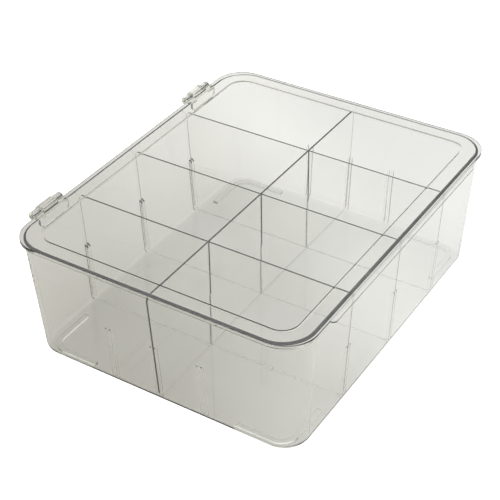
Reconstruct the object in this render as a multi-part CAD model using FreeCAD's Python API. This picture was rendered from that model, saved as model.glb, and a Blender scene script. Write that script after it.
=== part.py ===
import FreeCAD, Part
import os

# Hinged storage box for trading cards: one drafted tray, one hinged lid on two pinned hinges,
# and an egg-crate of four loose dividers that makes eight compartments.
# +X runs along the long side, +Z up, and the lid opens at the front, -Y. All sizes are in mm.

# Tray
TRAY_BASE = (141.5, 113.8, 20.0)     # half length, half width and corner radius under the floor
TRAY_MOUTH = (149.2, 119.2, 25.5)    # the same at the parting plane
WALL = 2.0
FLOOR = 2.0
FOOT_HEIGHT = 1.9
PARTING_Z = 102.7                    # top face of the tray's flange
BASE_EDGE_RADIUS = 4.0
INNER_EDGE_RADIUS = 2.5

# Rim shared by the tray's flange and the lid's outer edge
RIM = (150.4, 121.4, 24.5)
FLANGE_THICK = 1.8
FLANGE_EDGE = 0.4

# Lid
LID_GAP = 0.2                        # air between the closed lid and the flange
LID_THICK = 1.2                      # of the rim that rests on the flange
LID_EDGE_RADIUS = 0.5
PANEL = (137.0, 106.9, 14.5)         # recessed panel that takes the feet of a second box
PANEL_DROP = 0.6
GROOVE_WIDTH = 1.6                   # runs round the panel inside its outline
GROOVE_DROP = 1.6
PLUG_GAP = 0.5                       # from the tray's mouth to the thicker middle that drops inside it
PLUG_DEPTH = 1.1
LIP_HALF_LENGTH = 110.0
LIP_OUT = 3.7
LIP_THICK = 1.0
LIP_CORNER = 3.4
LIP_EDGE = 0.3

# Hinges
HINGE_X = 99.0
HINGE_AXIS_OUT = 4.6                 # from the rim to the hinge axis
HINGE_AXIS_DROP = 1.2                # from the parting plane down to the hinge axis
LID_KNUCKLE_RADIUS = 4.2
LID_KNUCKLE_HALF = 7.5
LID_ARM_RISE = 1.0
TRAY_KNUCKLE_RADIUS = 3.2
TRAY_KNUCKLE_LENGTH = 8.0
TRAY_KNUCKLE_START = 8.5
BRACKET_INSET = 0.3                  # from the rim to the face of the bracket under the flange
BRACKET_DEPTH = 10.5
BRACKET_CORNER = 4.0
BRACKET_EDGE = 0.6
PIN_RADIUS = 1.0
PIN_CLEARANCE = 0.05
PIN_HALF_LENGTH = 16.8

# Dividers
PITCH = 71.5                         # room for a 63 mm wide card in each compartment
DIVIDER_THICK = 1.4
DIVIDER_TOP_Z = 98.2
DIVIDER_FLOOR_GAP = 0.2
DIVIDER_END_GAP = 0.4
DIVIDER_LOW_CORNER = 5.0
DIVIDER_HIGH_CORNER = 3.0
DIVIDER_EDGE = 0.3
LAP_WIDTH = 2.2
LAP_Z = 50.0
LAP_PLAY = 1.8                       # lets each divider lift a little by itself

# Slot ribs on the walls, in pairs, which hold the divider ends
SLOT_WIDTH = 2.4
SLOT_RIB_THICK = 1.3
SLOT_RIB_DEPTH = 2.2
SLOT_RIB_TOP_Z = 54.0
SLOT_RIB_TAPER_Z = 51.0              # above this height the ribs run out into the wall
SIDE_SLOT_Y = 39.0

# Feet
FOOT_OUTLINE = (135.4, 105.3, 13.5)
FOOT_WIDTH = 4.0
FOOT_LEG_X = 91.0
FOOT_LEG_Y = 62.0

BIG = 400.0
FLOOR_Z = FOOT_HEIGHT + FLOOR
LID_Z = PARTING_Z + LID_GAP
LID_TOP_Z = LID_Z + LID_THICK
DIVIDER_LOW_Z = FLOOR_Z + DIVIDER_FLOOR_GAP
AXIS_Y = RIM[1] + HINGE_AXIS_OUT
AXIS_Z = PARTING_Z - HINGE_AXIS_DROP
FRONT_Y = -RIM[1] - LIP_OUT
BACK_Y = AXIS_Y + LID_KNUCKLE_RADIUS
CENTRE_SHIFT_Y = -(FRONT_Y + BACK_Y) / 2.0


def vec(x, y, z):
    return FreeCAD.Vector(x, y, z)


def box(x0, x1, y0, y1, z0, z1):
    return Part.makeBox(x1 - x0, y1 - y0, z1 - z0, vec(x0, y0, z0))


def outline(shape, z):
    """A rounded rectangle about the Z axis, as a closed wire."""
    half_x, half_y, radius = shape
    diagonal = radius * 0.5 ** 0.5
    edges = []
    for sx, sy in ((1, 1), (-1, 1), (-1, -1), (1, -1)):
        cx = sx * (half_x - radius)
        cy = sy * (half_y - radius)
        on_side = vec(sx * half_x, cy, z)
        on_end = vec(cx, sy * half_y, z)
        middle = vec(cx + sx * diagonal, cy + sy * diagonal, z)
        first, last = (on_side, on_end) if sx * sy > 0 else (on_end, on_side)
        edges.append(Part.Arc(first, middle, last).toShape())
    sides = []
    for i, arc in enumerate(edges):
        start = arc.lastVertex(True).Point
        end = edges[(i + 1) % 4].firstVertex(True).Point
        sides += [arc, Part.makeLine(start, end)]
    return Part.Wire(sides)


def inset(shape, amount):
    return tuple(size - amount for size in shape)


def plate(shape, z0, z1):
    return Part.Face(outline(shape, z0)).extrude(vec(0, 0, z1 - z0))


def drafted(low, z0, high, z1):
    """A solid with straight sides between two rounded rectangles."""
    return Part.makeLoft([outline(low, z0), outline(high, z1)], True, True)


def section(z, amount):
    """The tray's outer outline at a height, moved in by an amount."""
    t = (z - FOOT_HEIGHT) / (PARTING_Z - FOOT_HEIGHT)
    here = tuple(a + (b - a) * t for a, b in zip(TRAY_BASE, TRAY_MOUTH))
    return inset(here, amount)


def drafted_block(z0, z1, amount):
    return drafted(section(z0, amount), z0, section(z1, amount), z1)


def edges_at(shape, z):
    """Every edge that lies wholly in one level plane."""
    found = []
    for edge in shape.Edges:
        bounds = edge.BoundBox
        if abs(bounds.ZMin - z) < 0.01 and abs(bounds.ZMax - z) < 0.01:
            found.append(edge)
    return found


def bar_x(x0, x1, radius, y, z):
    return Part.makeCylinder(radius, x1 - x0, vec(x0, y, z), vec(1, 0, 0))


def slot_ribs(outer):
    """Pairs of ribs that stand off the drafted walls and fade into them towards the top."""
    core = drafted_block(FLOOR_Z, SLOT_RIB_TAPER_Z, WALL + SLOT_RIB_DEPTH)
    low = section(SLOT_RIB_TAPER_Z, WALL + SLOT_RIB_DEPTH)
    high = section(SLOT_RIB_TOP_Z, WALL - 0.5)
    taper = drafted(low, SLOT_RIB_TAPER_Z, high, SLOT_RIB_TOP_Z)
    band = outer.common(box(-BIG, BIG, -BIG, BIG, FLOOR_Z - 0.5, SLOT_RIB_TOP_Z))
    band = band.cut(core.fuse(taper))
    reach = (SLOT_WIDTH + SLOT_RIB_THICK) / 2.0
    half = SLOT_RIB_THICK / 2.0
    cutters = []
    for x in (-PITCH, 0, PITCH):
        for side in (-reach, reach):
            cutters.append(box(x + side - half, x + side + half, -BIG, BIG, 0, BIG))
    for y in (-SIDE_SLOT_Y, 0, SIDE_SLOT_Y):
        for side in (-reach, reach):
            cutters.append(box(-BIG, BIG, y + side - half, y + side + half, 0, BIG))
    return [band.common(cutter) for cutter in cutters]


def feet():
    """Four L-shaped strips that nest in the lid panel of a box below."""
    ring = plate(FOOT_OUTLINE, 0, FOOT_HEIGHT + 0.5)
    ring = ring.cut(plate(inset(FOOT_OUTLINE, FOOT_WIDTH), -1, FOOT_HEIGHT + 1))
    strips = []
    for sx in (-1, 1):
        for sy in (-1, 1):
            xs = sorted((sx * FOOT_LEG_X, sx * BIG))
            ys = sorted((sy * FOOT_LEG_Y, sy * BIG))
            strips.append(ring.common(box(xs[0], xs[1], ys[0], ys[1], -1, BIG)))
    return strips


def tray_bracket(centre):
    """The plate on the back wall that carries both outer knuckles of a hinge."""
    half = TRAY_KNUCKLE_START + TRAY_KNUCKLE_LENGTH
    low_z = PARTING_Z - BRACKET_DEPTH
    y0 = TRAY_MOUTH[1] - WALL / 2.0
    y1 = RIM[1] - BRACKET_INSET
    slab = box(centre - half, centre + half, y0, y1, low_z, PARTING_Z - FLANGE_THICK)
    corners = []
    for edge in slab.Edges:
        bounds = edge.BoundBox
        if bounds.YLength > 1.0 and bounds.ZMax < low_z + 0.01:
            corners.append(edge)
    slab = slab.makeFillet(BRACKET_CORNER, corners)
    rounded = []
    for edge in slab.Edges:
        bounds = edge.BoundBox
        if bounds.YMin > y1 - 0.01 and bounds.ZMin < PARTING_Z - FLANGE_THICK - 1.0:
            rounded.append(edge)
    slab = slab.makeFillet(BRACKET_EDGE, rounded)
    solids = [slab]
    for start in (-half, TRAY_KNUCKLE_START):
        x0 = centre + start
        x1 = x0 + TRAY_KNUCKLE_LENGTH
        solids.append(bar_x(x0, x1, TRAY_KNUCKLE_RADIUS, AXIS_Y, AXIS_Z))
        solids.append(box(x0, x1, y0, AXIS_Y, AXIS_Z - TRAY_KNUCKLE_RADIUS, AXIS_Z))
    return solids


def pin_bores():
    reach = PIN_HALF_LENGTH + 2.0
    radius = PIN_RADIUS + PIN_CLEARANCE
    return [bar_x(x - reach, x + reach, radius, AXIS_Y, AXIS_Z) for x in (-HINGE_X, HINGE_X)]


def make_tray():
    outer = drafted_block(FOOT_HEIGHT, PARTING_Z, 0)
    outer = outer.makeFillet(BASE_EDGE_RADIUS, edges_at(outer, FOOT_HEIGHT))
    flange = plate(RIM, PARTING_Z - FLANGE_THICK, PARTING_Z)
    flange = flange.makeFillet(FLANGE_EDGE, edges_at(flange, PARTING_Z - FLANGE_THICK))
    hollow = drafted_block(FLOOR_Z, PARTING_Z + 1.0, WALL)
    hollow = hollow.makeFillet(INNER_EDGE_RADIUS, edges_at(hollow, FLOOR_Z))
    extras = [flange] + tray_bracket(-HINGE_X) + tray_bracket(HINGE_X)
    shell = outer.multiFuse(extras).cut(hollow)
    shell = shell.multiFuse(slot_ribs(outer) + feet())
    for bore in pin_bores():
        shell = shell.cut(bore)
    return shell.removeSplitter()


def front_lip():
    y1 = -RIM[1] + LID_EDGE_RADIUS + 1.0
    lip = box(-LIP_HALF_LENGTH, LIP_HALF_LENGTH, FRONT_Y, y1, LID_Z, LID_Z + LIP_THICK)
    corners = []
    for edge in lip.Edges:
        bounds = edge.BoundBox
        if bounds.ZLength > LIP_THICK / 2.0 and bounds.YMax < FRONT_Y + 0.01:
            corners.append(edge)
    lip = lip.makeFillet(LIP_CORNER, corners)
    rim = [edge for edge in lip.Edges if edge.BoundBox.ZLength < 0.01 and edge.BoundBox.YMax < y1 - 0.01]
    return lip.makeFillet(LIP_EDGE, rim)


def lid_knuckle(centre):
    """The middle knuckle of a hinge and the arm that joins it to the lid's edge."""
    x0 = centre - LID_KNUCKLE_HALF
    x1 = centre + LID_KNUCKLE_HALF
    arm = box(x0, x1, RIM[1] - LID_EDGE_RADIUS - 1.0, AXIS_Y, LID_Z, LID_TOP_Z + LID_ARM_RISE)
    inner = [edge for edge in arm.Edges if edge.BoundBox.YMax < RIM[1] and edge.BoundBox.ZMin > LID_TOP_Z]
    arm = arm.makeFillet(LID_ARM_RISE - 0.1, inner)
    return [arm, bar_x(x0, x1, LID_KNUCKLE_RADIUS, AXIS_Y, AXIS_Z)]


def make_lid():
    slab = plate(RIM, LID_Z, LID_TOP_Z)
    slab = slab.makeFillet(LID_EDGE_RADIUS, edges_at(slab, LID_TOP_Z))
    plug = plate(inset(TRAY_MOUTH, WALL + PLUG_GAP), LID_Z - PLUG_DEPTH, LID_Z + 0.5)
    extras = [plug, front_lip()]
    for centre in (-HINGE_X, HINGE_X):
        extras += lid_knuckle(centre)
    lid = slab.multiFuse(extras)
    lid = lid.cut(plate(PANEL, LID_TOP_Z - PANEL_DROP, LID_TOP_Z + BIG))
    groove = plate(PANEL, LID_TOP_Z - GROOVE_DROP, LID_TOP_Z)
    lid = lid.cut(groove.cut(plate(inset(PANEL, GROOVE_WIDTH), LID_TOP_Z - BIG, LID_TOP_Z + BIG)))
    for bore in pin_bores():
        lid = lid.cut(bore)
    return lid.removeSplitter()


def make_pin(centre):
    pin = bar_x(centre - PIN_HALF_LENGTH, centre + PIN_HALF_LENGTH, PIN_RADIUS, AXIS_Y, AXIS_Z)
    ends = [edge for edge in pin.Edges if edge.BoundBox.XLength < 0.01]
    return pin.makeFillet(0.4, ends)


def divider_blank(low_half, high_half):
    """A flat plate in the XZ plane, tapered like the walls, with rounded corners."""
    points = [vec(-low_half, 0, DIVIDER_LOW_Z), vec(low_half, 0, DIVIDER_LOW_Z)]
    points += [vec(high_half, 0, DIVIDER_TOP_Z), vec(-high_half, 0, DIVIDER_TOP_Z)]
    face = Part.Face(Part.makePolygon(points + points[:1]))
    blank = face.extrude(vec(0, DIVIDER_THICK, 0))
    blank.translate(vec(0, -DIVIDER_THICK / 2.0, 0))
    for z, radius in ((DIVIDER_LOW_Z, DIVIDER_LOW_CORNER), (DIVIDER_TOP_Z, DIVIDER_HIGH_CORNER)):
        corners = []
        for edge in blank.Edges:
            bounds = edge.BoundBox
            if abs(bounds.ZMin - z) < 0.01 and bounds.XLength < 0.01 and bounds.ZLength < 0.01:
                corners.append(edge)
        blank = blank.makeFillet(radius, corners)
    faces_y = (-DIVIDER_THICK / 2.0, DIVIDER_THICK / 2.0)
    rims = []
    for edge in blank.Edges:
        if edge.BoundBox.YLength < 0.01 and min(abs(edge.BoundBox.YMin - y) for y in faces_y) < 0.01:
            rims.append(edge)
    return blank.makeFillet(DIVIDER_EDGE, rims)


def divider_halves(axis):
    """Half lengths of a divider at the floor and at its top edge, clear of the walls."""
    amount = WALL + DIVIDER_END_GAP
    return section(DIVIDER_LOW_Z, amount)[axis], section(DIVIDER_TOP_Z, amount)[axis]


def make_long_divider():
    blank = divider_blank(*divider_halves(0))
    half = LAP_WIDTH / 2.0
    for x in (-PITCH, 0, PITCH):
        blank = blank.cut(box(x - half, x + half, -BIG, BIG, LAP_Z, BIG))
    return blank


def make_cross_divider(x):
    blank = divider_blank(*divider_halves(1))
    half = LAP_WIDTH / 2.0
    blank = blank.cut(box(-half, half, -BIG, BIG, -BIG, LAP_Z + LAP_PLAY))
    blank.rotate(vec(0, 0, 0), vec(0, 0, 1), 90)
    blank.translate(vec(x, 0, 0))
    return blank


os.makedirs("parts", exist_ok=True)
nodes = {
    "tray": make_tray(),
    "lid": make_lid(),
    "hinge_pin_left": make_pin(-HINGE_X),
    "hinge_pin_right": make_pin(HINGE_X),
    "long_divider": make_long_divider(),
    "cross_divider_left": make_cross_divider(-PITCH),
    "cross_divider_middle": make_cross_divider(0),
    "cross_divider_right": make_cross_divider(PITCH),
}
for name, shape in nodes.items():
    shape.translate(vec(0, CENTRE_SHIFT_Y, 0))
    shape.exportStep("parts/" + name + ".step")
    print(name, shape.isValid(), len(shape.Solids), round(shape.Volume), shape.BoundBox)
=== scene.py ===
import math

import bpy
from mathutils import Matrix, Vector

# Camera, in metres and degrees
CAMERA_PLACE = (-0.69105, -0.43462, 0.64366)
CAMERA_AZIMUTH = -57.37
CAMERA_ELEVATION = 36.22
CAMERA_ROLL = -0.89
CAMERA_LENS = 93.7                   # mm
SENSOR = 36.0                        # mm
CAMERA_NEAR = 0.01
CAMERA_FAR = 40.0

# Surroundings, as the clear plastic gathers them: a table whose glow is painted light and shade, under a
# room that is bright overhead, dimmer in a band above the horizon, and dimmer on one side
FLOOR_Z = -0.0003                    # just under the feet
FLOOR_HALF = 12.0
FLOOR_ROUGHNESS = 0.7
TABLE_COLOR = (0.45, 0.445, 0.43)
# Painted light and shade: the table's glow is darker towards -X/+Y and brighter towards +X/-Y, standing
# in for the fall of light across the table and the shade under the box
PAINTED_GLOW_DIRECTION = (0.6, -0.45, 0.0)
PAINTED_GLOW_SPAN = (-0.1, 0.2)              # where the stops below begin and end along that direction
TABLE_PAINTED_GLOW = (
    (0.0, (0.31, 0.303, 0.268)),
    (0.33, (0.48, 0.475, 0.45)),
    (0.6, (0.70, 0.70, 0.68)),
    (0.8, (0.61, 0.61, 0.605)),
)
SKY_BANDS = ((0.05, 0.7), (0.16, 0.3), (0.42, 0.3), (0.85, 1.2))  # height of a direction, light
DIM_SIDE = (-0.84, -0.54, 0.0)
DIM_SIDE_AMOUNT = 0.5
DIM_SIDE_REACH = 0.8

# Backdrop, which the camera sees directly in place of those surroundings
BACKDROP_COLOR = 0.9
BACKDROP_GLOW = 1.05

# Clear plastic
PLASTIC_TINT = (0.75, 0.77, 0.58)
PLASTIC_DENSITY = 24.0
PLASTIC_IOR = 1.5
POLISH = 0.012                       # roughness where the plastic is clean
RIPPLE_SCALE = 16.0
SMUDGE_SCALE = 22.0
SCRATCH_SCALE = 34.0
SCRATCH_STRETCH = 22.0
SCRATCH_TILT = (0.3, 0.2, 0.7)
SCRATCH_DEPTH = 0.000004

# Drawn steel wire
STEEL_DULL = (0.50, 0.50, 0.49, 1.0)
STEEL_BRIGHT = (0.63, 0.62, 0.60, 1.0)
STEEL_ROUGHNESS = 0.12
DRAW_LINE_SCALE = 90.0
DRAW_LINE_STRETCH = 40.0
DRAW_LINE_DEPTH = 0.00003
DULL_PATCH_SCALE = 260.0

# Light paths through many clear walls
CLEAR_BOUNCES = 32
GLOSSY_BOUNCES = 12

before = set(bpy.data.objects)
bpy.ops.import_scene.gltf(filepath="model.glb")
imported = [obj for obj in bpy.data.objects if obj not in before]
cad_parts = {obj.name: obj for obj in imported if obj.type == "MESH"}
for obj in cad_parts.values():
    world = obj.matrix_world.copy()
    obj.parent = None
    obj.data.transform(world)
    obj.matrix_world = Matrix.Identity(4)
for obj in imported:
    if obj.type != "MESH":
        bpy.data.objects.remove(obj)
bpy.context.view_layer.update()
scene = bpy.context.scene


def make_camera():
    data = bpy.data.cameras.new("camera")
    data.lens = CAMERA_LENS
    data.sensor_width = SENSOR
    data.clip_start = CAMERA_NEAR
    data.clip_end = CAMERA_FAR
    camera = bpy.data.objects.new("camera", data)
    scene.collection.objects.link(camera)
    a, e = math.radians(CAMERA_AZIMUTH), math.radians(CAMERA_ELEVATION)
    back = Vector((math.sin(a) * math.cos(e), -math.cos(a) * math.cos(e), math.sin(e)))
    turn = (-back).to_track_quat("-Z", "Y").to_matrix().to_4x4()
    roll = Matrix.Rotation(math.radians(CAMERA_ROLL), 4, "Z")
    camera.matrix_world = Matrix.Translation(CAMERA_PLACE) @ turn @ roll
    scene.camera = camera


class Graph:
    """Short ways to add and join shader nodes."""

    def __init__(self, tree):
        self.nodes = tree.nodes
        self.links = tree.links

    def add(self, kind, **settings):
        node = self.nodes.new(kind)
        for key, value in settings.items():
            setattr(node, key, value)
        return node

    def feed(self, node, socket, source):
        """Joins a source output to an input, or sets the input to a value."""
        if isinstance(source, bpy.types.NodeSocket):
            self.links.new(source, node.inputs[socket])
        else:
            node.inputs[socket].default_value = source

    def dot(self, vector, direction):
        node = self.add("ShaderNodeVectorMath", operation="DOT_PRODUCT")
        self.feed(node, 0, vector)
        self.feed(node, 1, direction)
        return node.outputs["Value"]

    def span(self, value, low, high, to_low=0.0, to_high=1.0, smooth=True):
        """Maps a value from one range to another."""
        node = self.add("ShaderNodeMapRange", interpolation_type="SMOOTHSTEP" if smooth else "LINEAR")
        for socket, source in zip(range(5), (value, low, high, to_low, to_high)):
            self.feed(node, socket, source)
        return node.outputs["Result"]

    def scale(self, vector, factor):
        node = self.add("ShaderNodeVectorMath", operation="SCALE")
        self.feed(node, 0, vector)
        self.feed(node, "Scale", factor)
        return node.outputs["Vector"]

    def blend(self, factor, a, b):
        """Mixes two colours."""
        node = self.add("ShaderNodeMix", data_type="RGBA")
        self.feed(node, 0, factor)
        self.feed(node, 6, a)
        self.feed(node, 7, b)
        return node.outputs[2]

    def ramp(self, factor, stops):
        """Colours between any number of (place, colour) stops."""
        node = self.add("ShaderNodeValToRGB")
        self.feed(node, "Fac", factor)
        node.color_ramp.interpolation = "EASE"
        elements = node.color_ramp.elements
        while len(elements) < len(stops):
            elements.new(0.5)
        for element, (place, color) in zip(elements, stops):
            element.position = place
            element.color = (*color, 1.0)
        return node.outputs["Color"]

    def math(self, operation, a, b):
        node = self.add("ShaderNodeMath", operation=operation)
        self.feed(node, 0, a)
        self.feed(node, 1, b)
        return node.outputs["Value"]

    def noise(self, vector, scale, detail=2.0, roughness=0.5):
        node = self.add("ShaderNodeTexNoise")
        self.feed(node, "Vector", vector)
        self.feed(node, "Scale", scale)
        self.feed(node, "Detail", detail)
        self.feed(node, "Roughness", roughness)
        return node.outputs["Fac"]

    def seen_directly(self, other, direct):
        """One shader for what the camera sees directly and another for every other ray."""
        node = self.add("ShaderNodeMixShader")
        self.feed(node, 0, self.add("ShaderNodeLightPath").outputs["Is Camera Ray"])
        self.feed(node, 1, other)
        self.feed(node, 2, direct)
        return node.outputs["Shader"]


def grey(value):
    return (value, value, value, 1.0)


def make_world():
    world = bpy.data.worlds.new("studio")
    world.use_nodes = True
    g = Graph(world.node_tree)
    direction = g.add("ShaderNodeTexCoord").outputs["Generated"]
    split = g.add("ShaderNodeSeparateXYZ")
    g.feed(split, 0, direction)
    bands = g.ramp(split.outputs["Z"], [(height, (light, light, light)) for height, light in SKY_BANDS])
    bright, dim = 1.0 + DIM_SIDE_AMOUNT / 2.0, 1.0 - DIM_SIDE_AMOUNT
    side = g.span(g.dot(direction, DIM_SIDE), -DIM_SIDE_REACH, DIM_SIDE_REACH, bright, dim, smooth=False)
    sky = g.nodes["Background"]
    g.feed(sky, "Color", g.scale(bands, side))
    backdrop = g.add("ShaderNodeBackground")
    g.feed(backdrop, "Color", grey(1.0))
    shader = g.seen_directly(sky.outputs["Background"], backdrop.outputs["Background"])
    g.feed(g.nodes["World Output"], "Surface", shader)
    scene.world = world


def make_floor():
    mesh = bpy.data.meshes.new("floor")
    corners = [(x * FLOOR_HALF, y * FLOOR_HALF, FLOOR_Z) for x, y in ((-1, -1), (1, -1), (1, 1), (-1, 1))]
    mesh.from_pydata(corners, [], [(0, 1, 2, 3)])
    floor = bpy.data.objects.new("floor", mesh)
    scene.collection.objects.link(floor)
    material = bpy.data.materials.new("table")
    material.use_nodes = True
    g = Graph(material.node_tree)
    table = g.nodes["Principled BSDF"]
    # Painted light and shade: the table's glow grades along one direction, darker towards -X/+Y and
    # brighter towards +X/-Y
    place = g.dot(g.add("ShaderNodeNewGeometry").outputs["Position"], PAINTED_GLOW_DIRECTION)
    painted_glow = g.ramp(g.span(place, *PAINTED_GLOW_SPAN, smooth=False), TABLE_PAINTED_GLOW)
    backdrop = g.add("ShaderNodeBsdfPrincipled")
    for shader, color, light, strength in (
        (table, (*TABLE_COLOR, 1.0), painted_glow, 1.0),
        (backdrop, grey(BACKDROP_COLOR), grey(1.0), BACKDROP_GLOW),
    ):
        g.feed(shader, "Base Color", color)
        g.feed(shader, "Roughness", FLOOR_ROUGHNESS)
        g.feed(shader, "Specular IOR Level", 0.0)
        g.feed(shader, "Emission Color", light)
        g.feed(shader, "Emission Strength", strength)
    surface = g.seen_directly(table.outputs["BSDF"], backdrop.outputs["BSDF"])
    g.feed(g.nodes["Material Output"], "Surface", surface)
    mesh.materials.append(material)


def clear_plastic(name, seed, ripple_depth, wear):
    """Clear polystyrene: slow ripples from moulding, smudges and fine handling scratches."""
    material = bpy.data.materials.new(name)
    material.use_nodes = True
    g = Graph(material.node_tree)
    shader = g.nodes["Principled BSDF"]
    g.feed(shader, "Base Color", grey(1.0))
    g.feed(shader, "IOR", PLASTIC_IOR)
    g.feed(shader, "Transmission Weight", 1.0)

    place = g.add("ShaderNodeVectorMath", operation="ADD")
    g.feed(place, 0, g.add("ShaderNodeTexCoord").outputs["Object"])
    g.feed(place, 1, (seed, 2.0 * seed, 3.0 * seed))
    place = place.outputs["Vector"]

    smudges = g.span(g.noise(place, SMUDGE_SCALE, 4.0, 0.6), 0.45, 0.8)
    stretched = g.add("ShaderNodeMapping")
    g.feed(stretched, "Vector", place)
    g.feed(stretched, "Rotation", SCRATCH_TILT)
    g.feed(stretched, "Scale", (1.0, SCRATCH_STRETCH, SCRATCH_STRETCH))
    scratches = g.span(g.noise(stretched.outputs["Vector"], SCRATCH_SCALE, 3.0, 0.65), 0.69, 0.78)
    worn = g.math("ADD", g.math("MULTIPLY", smudges, 0.6), g.math("MULTIPLY", scratches, 0.5))
    g.feed(shader, "Roughness", g.span(worn, 0.0, 1.1, POLISH, POLISH + wear, smooth=False))

    ripple = g.add("ShaderNodeBump")
    g.feed(ripple, "Strength", 1.0)
    g.feed(ripple, "Distance", ripple_depth)
    g.feed(ripple, "Height", g.noise(place, RIPPLE_SCALE, 1.0, 0.4))
    fine = g.add("ShaderNodeBump")
    g.feed(fine, "Strength", 1.0)
    g.feed(fine, "Distance", SCRATCH_DEPTH)
    g.feed(fine, "Height", scratches)
    g.feed(fine, "Normal", ripple.outputs["Normal"])
    g.feed(shader, "Normal", fine.outputs["Normal"])

    absorb = g.add("ShaderNodeVolumeAbsorption")
    g.feed(absorb, "Color", (*PLASTIC_TINT, 1.0))
    g.feed(absorb, "Density", PLASTIC_DENSITY)
    g.feed(g.nodes["Material Output"], "Volume", absorb.outputs["Volume"])
    return material


def drawn_steel(name, seed):
    """Steel wire: fine lines along its length, a few dull patches."""
    material = bpy.data.materials.new(name)
    material.use_nodes = True
    g = Graph(material.node_tree)
    shader = g.nodes["Principled BSDF"]
    g.feed(shader, "Metallic", 1.0)
    place = g.add("ShaderNodeTexCoord").outputs["Object"]
    stretched = g.add("ShaderNodeMapping")
    g.feed(stretched, "Vector", place)
    g.feed(stretched, "Location", (seed, seed, 0.0))
    g.feed(stretched, "Scale", (1.0, DRAW_LINE_STRETCH, DRAW_LINE_STRETCH))
    lines = g.noise(stretched.outputs["Vector"], DRAW_LINE_SCALE, 4.0, 0.7)
    patches = g.noise(place, DULL_PATCH_SCALE, 3.0, 0.6)
    g.feed(shader, "Base Color", g.blend(patches, STEEL_DULL, STEEL_BRIGHT))
    rough = g.math("ADD", g.math("MULTIPLY", lines, 0.25), g.math("MULTIPLY", patches, 0.12))
    g.feed(shader, "Roughness", g.math("ADD", rough, STEEL_ROUGHNESS))
    bump = g.add("ShaderNodeBump")
    g.feed(bump, "Strength", 0.5)
    g.feed(bump, "Distance", DRAW_LINE_DEPTH)
    g.feed(bump, "Height", lines)
    g.feed(shader, "Normal", bump.outputs["Normal"])
    return material


def paint(node, material):
    """Gives a CAD node its material."""
    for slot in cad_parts[node].material_slots:
        slot.material = material


make_camera()
make_world()
make_floor()

paint("tray", clear_plastic("clear_tray", seed=1.0, ripple_depth=0.00012, wear=0.09))
paint("lid", clear_plastic("clear_lid", seed=2.0, ripple_depth=0.00008, wear=0.07))
divider = clear_plastic("clear_divider", seed=3.0, ripple_depth=0.0001, wear=0.09)
for node in ("long_divider", "cross_divider_left", "cross_divider_middle", "cross_divider_right"):
    paint(node, divider)
steel = drawn_steel("pin_steel", seed=4.0)
paint("hinge_pin_left", steel)
paint("hinge_pin_right", steel)

scene.cycles.max_bounces = CLEAR_BOUNCES
scene.cycles.transmission_bounces = CLEAR_BOUNCES
scene.cycles.transparent_max_bounces = CLEAR_BOUNCES
scene.cycles.glossy_bounces = GLOSSY_BOUNCES
scene.view_settings.view_transform = "Standard"
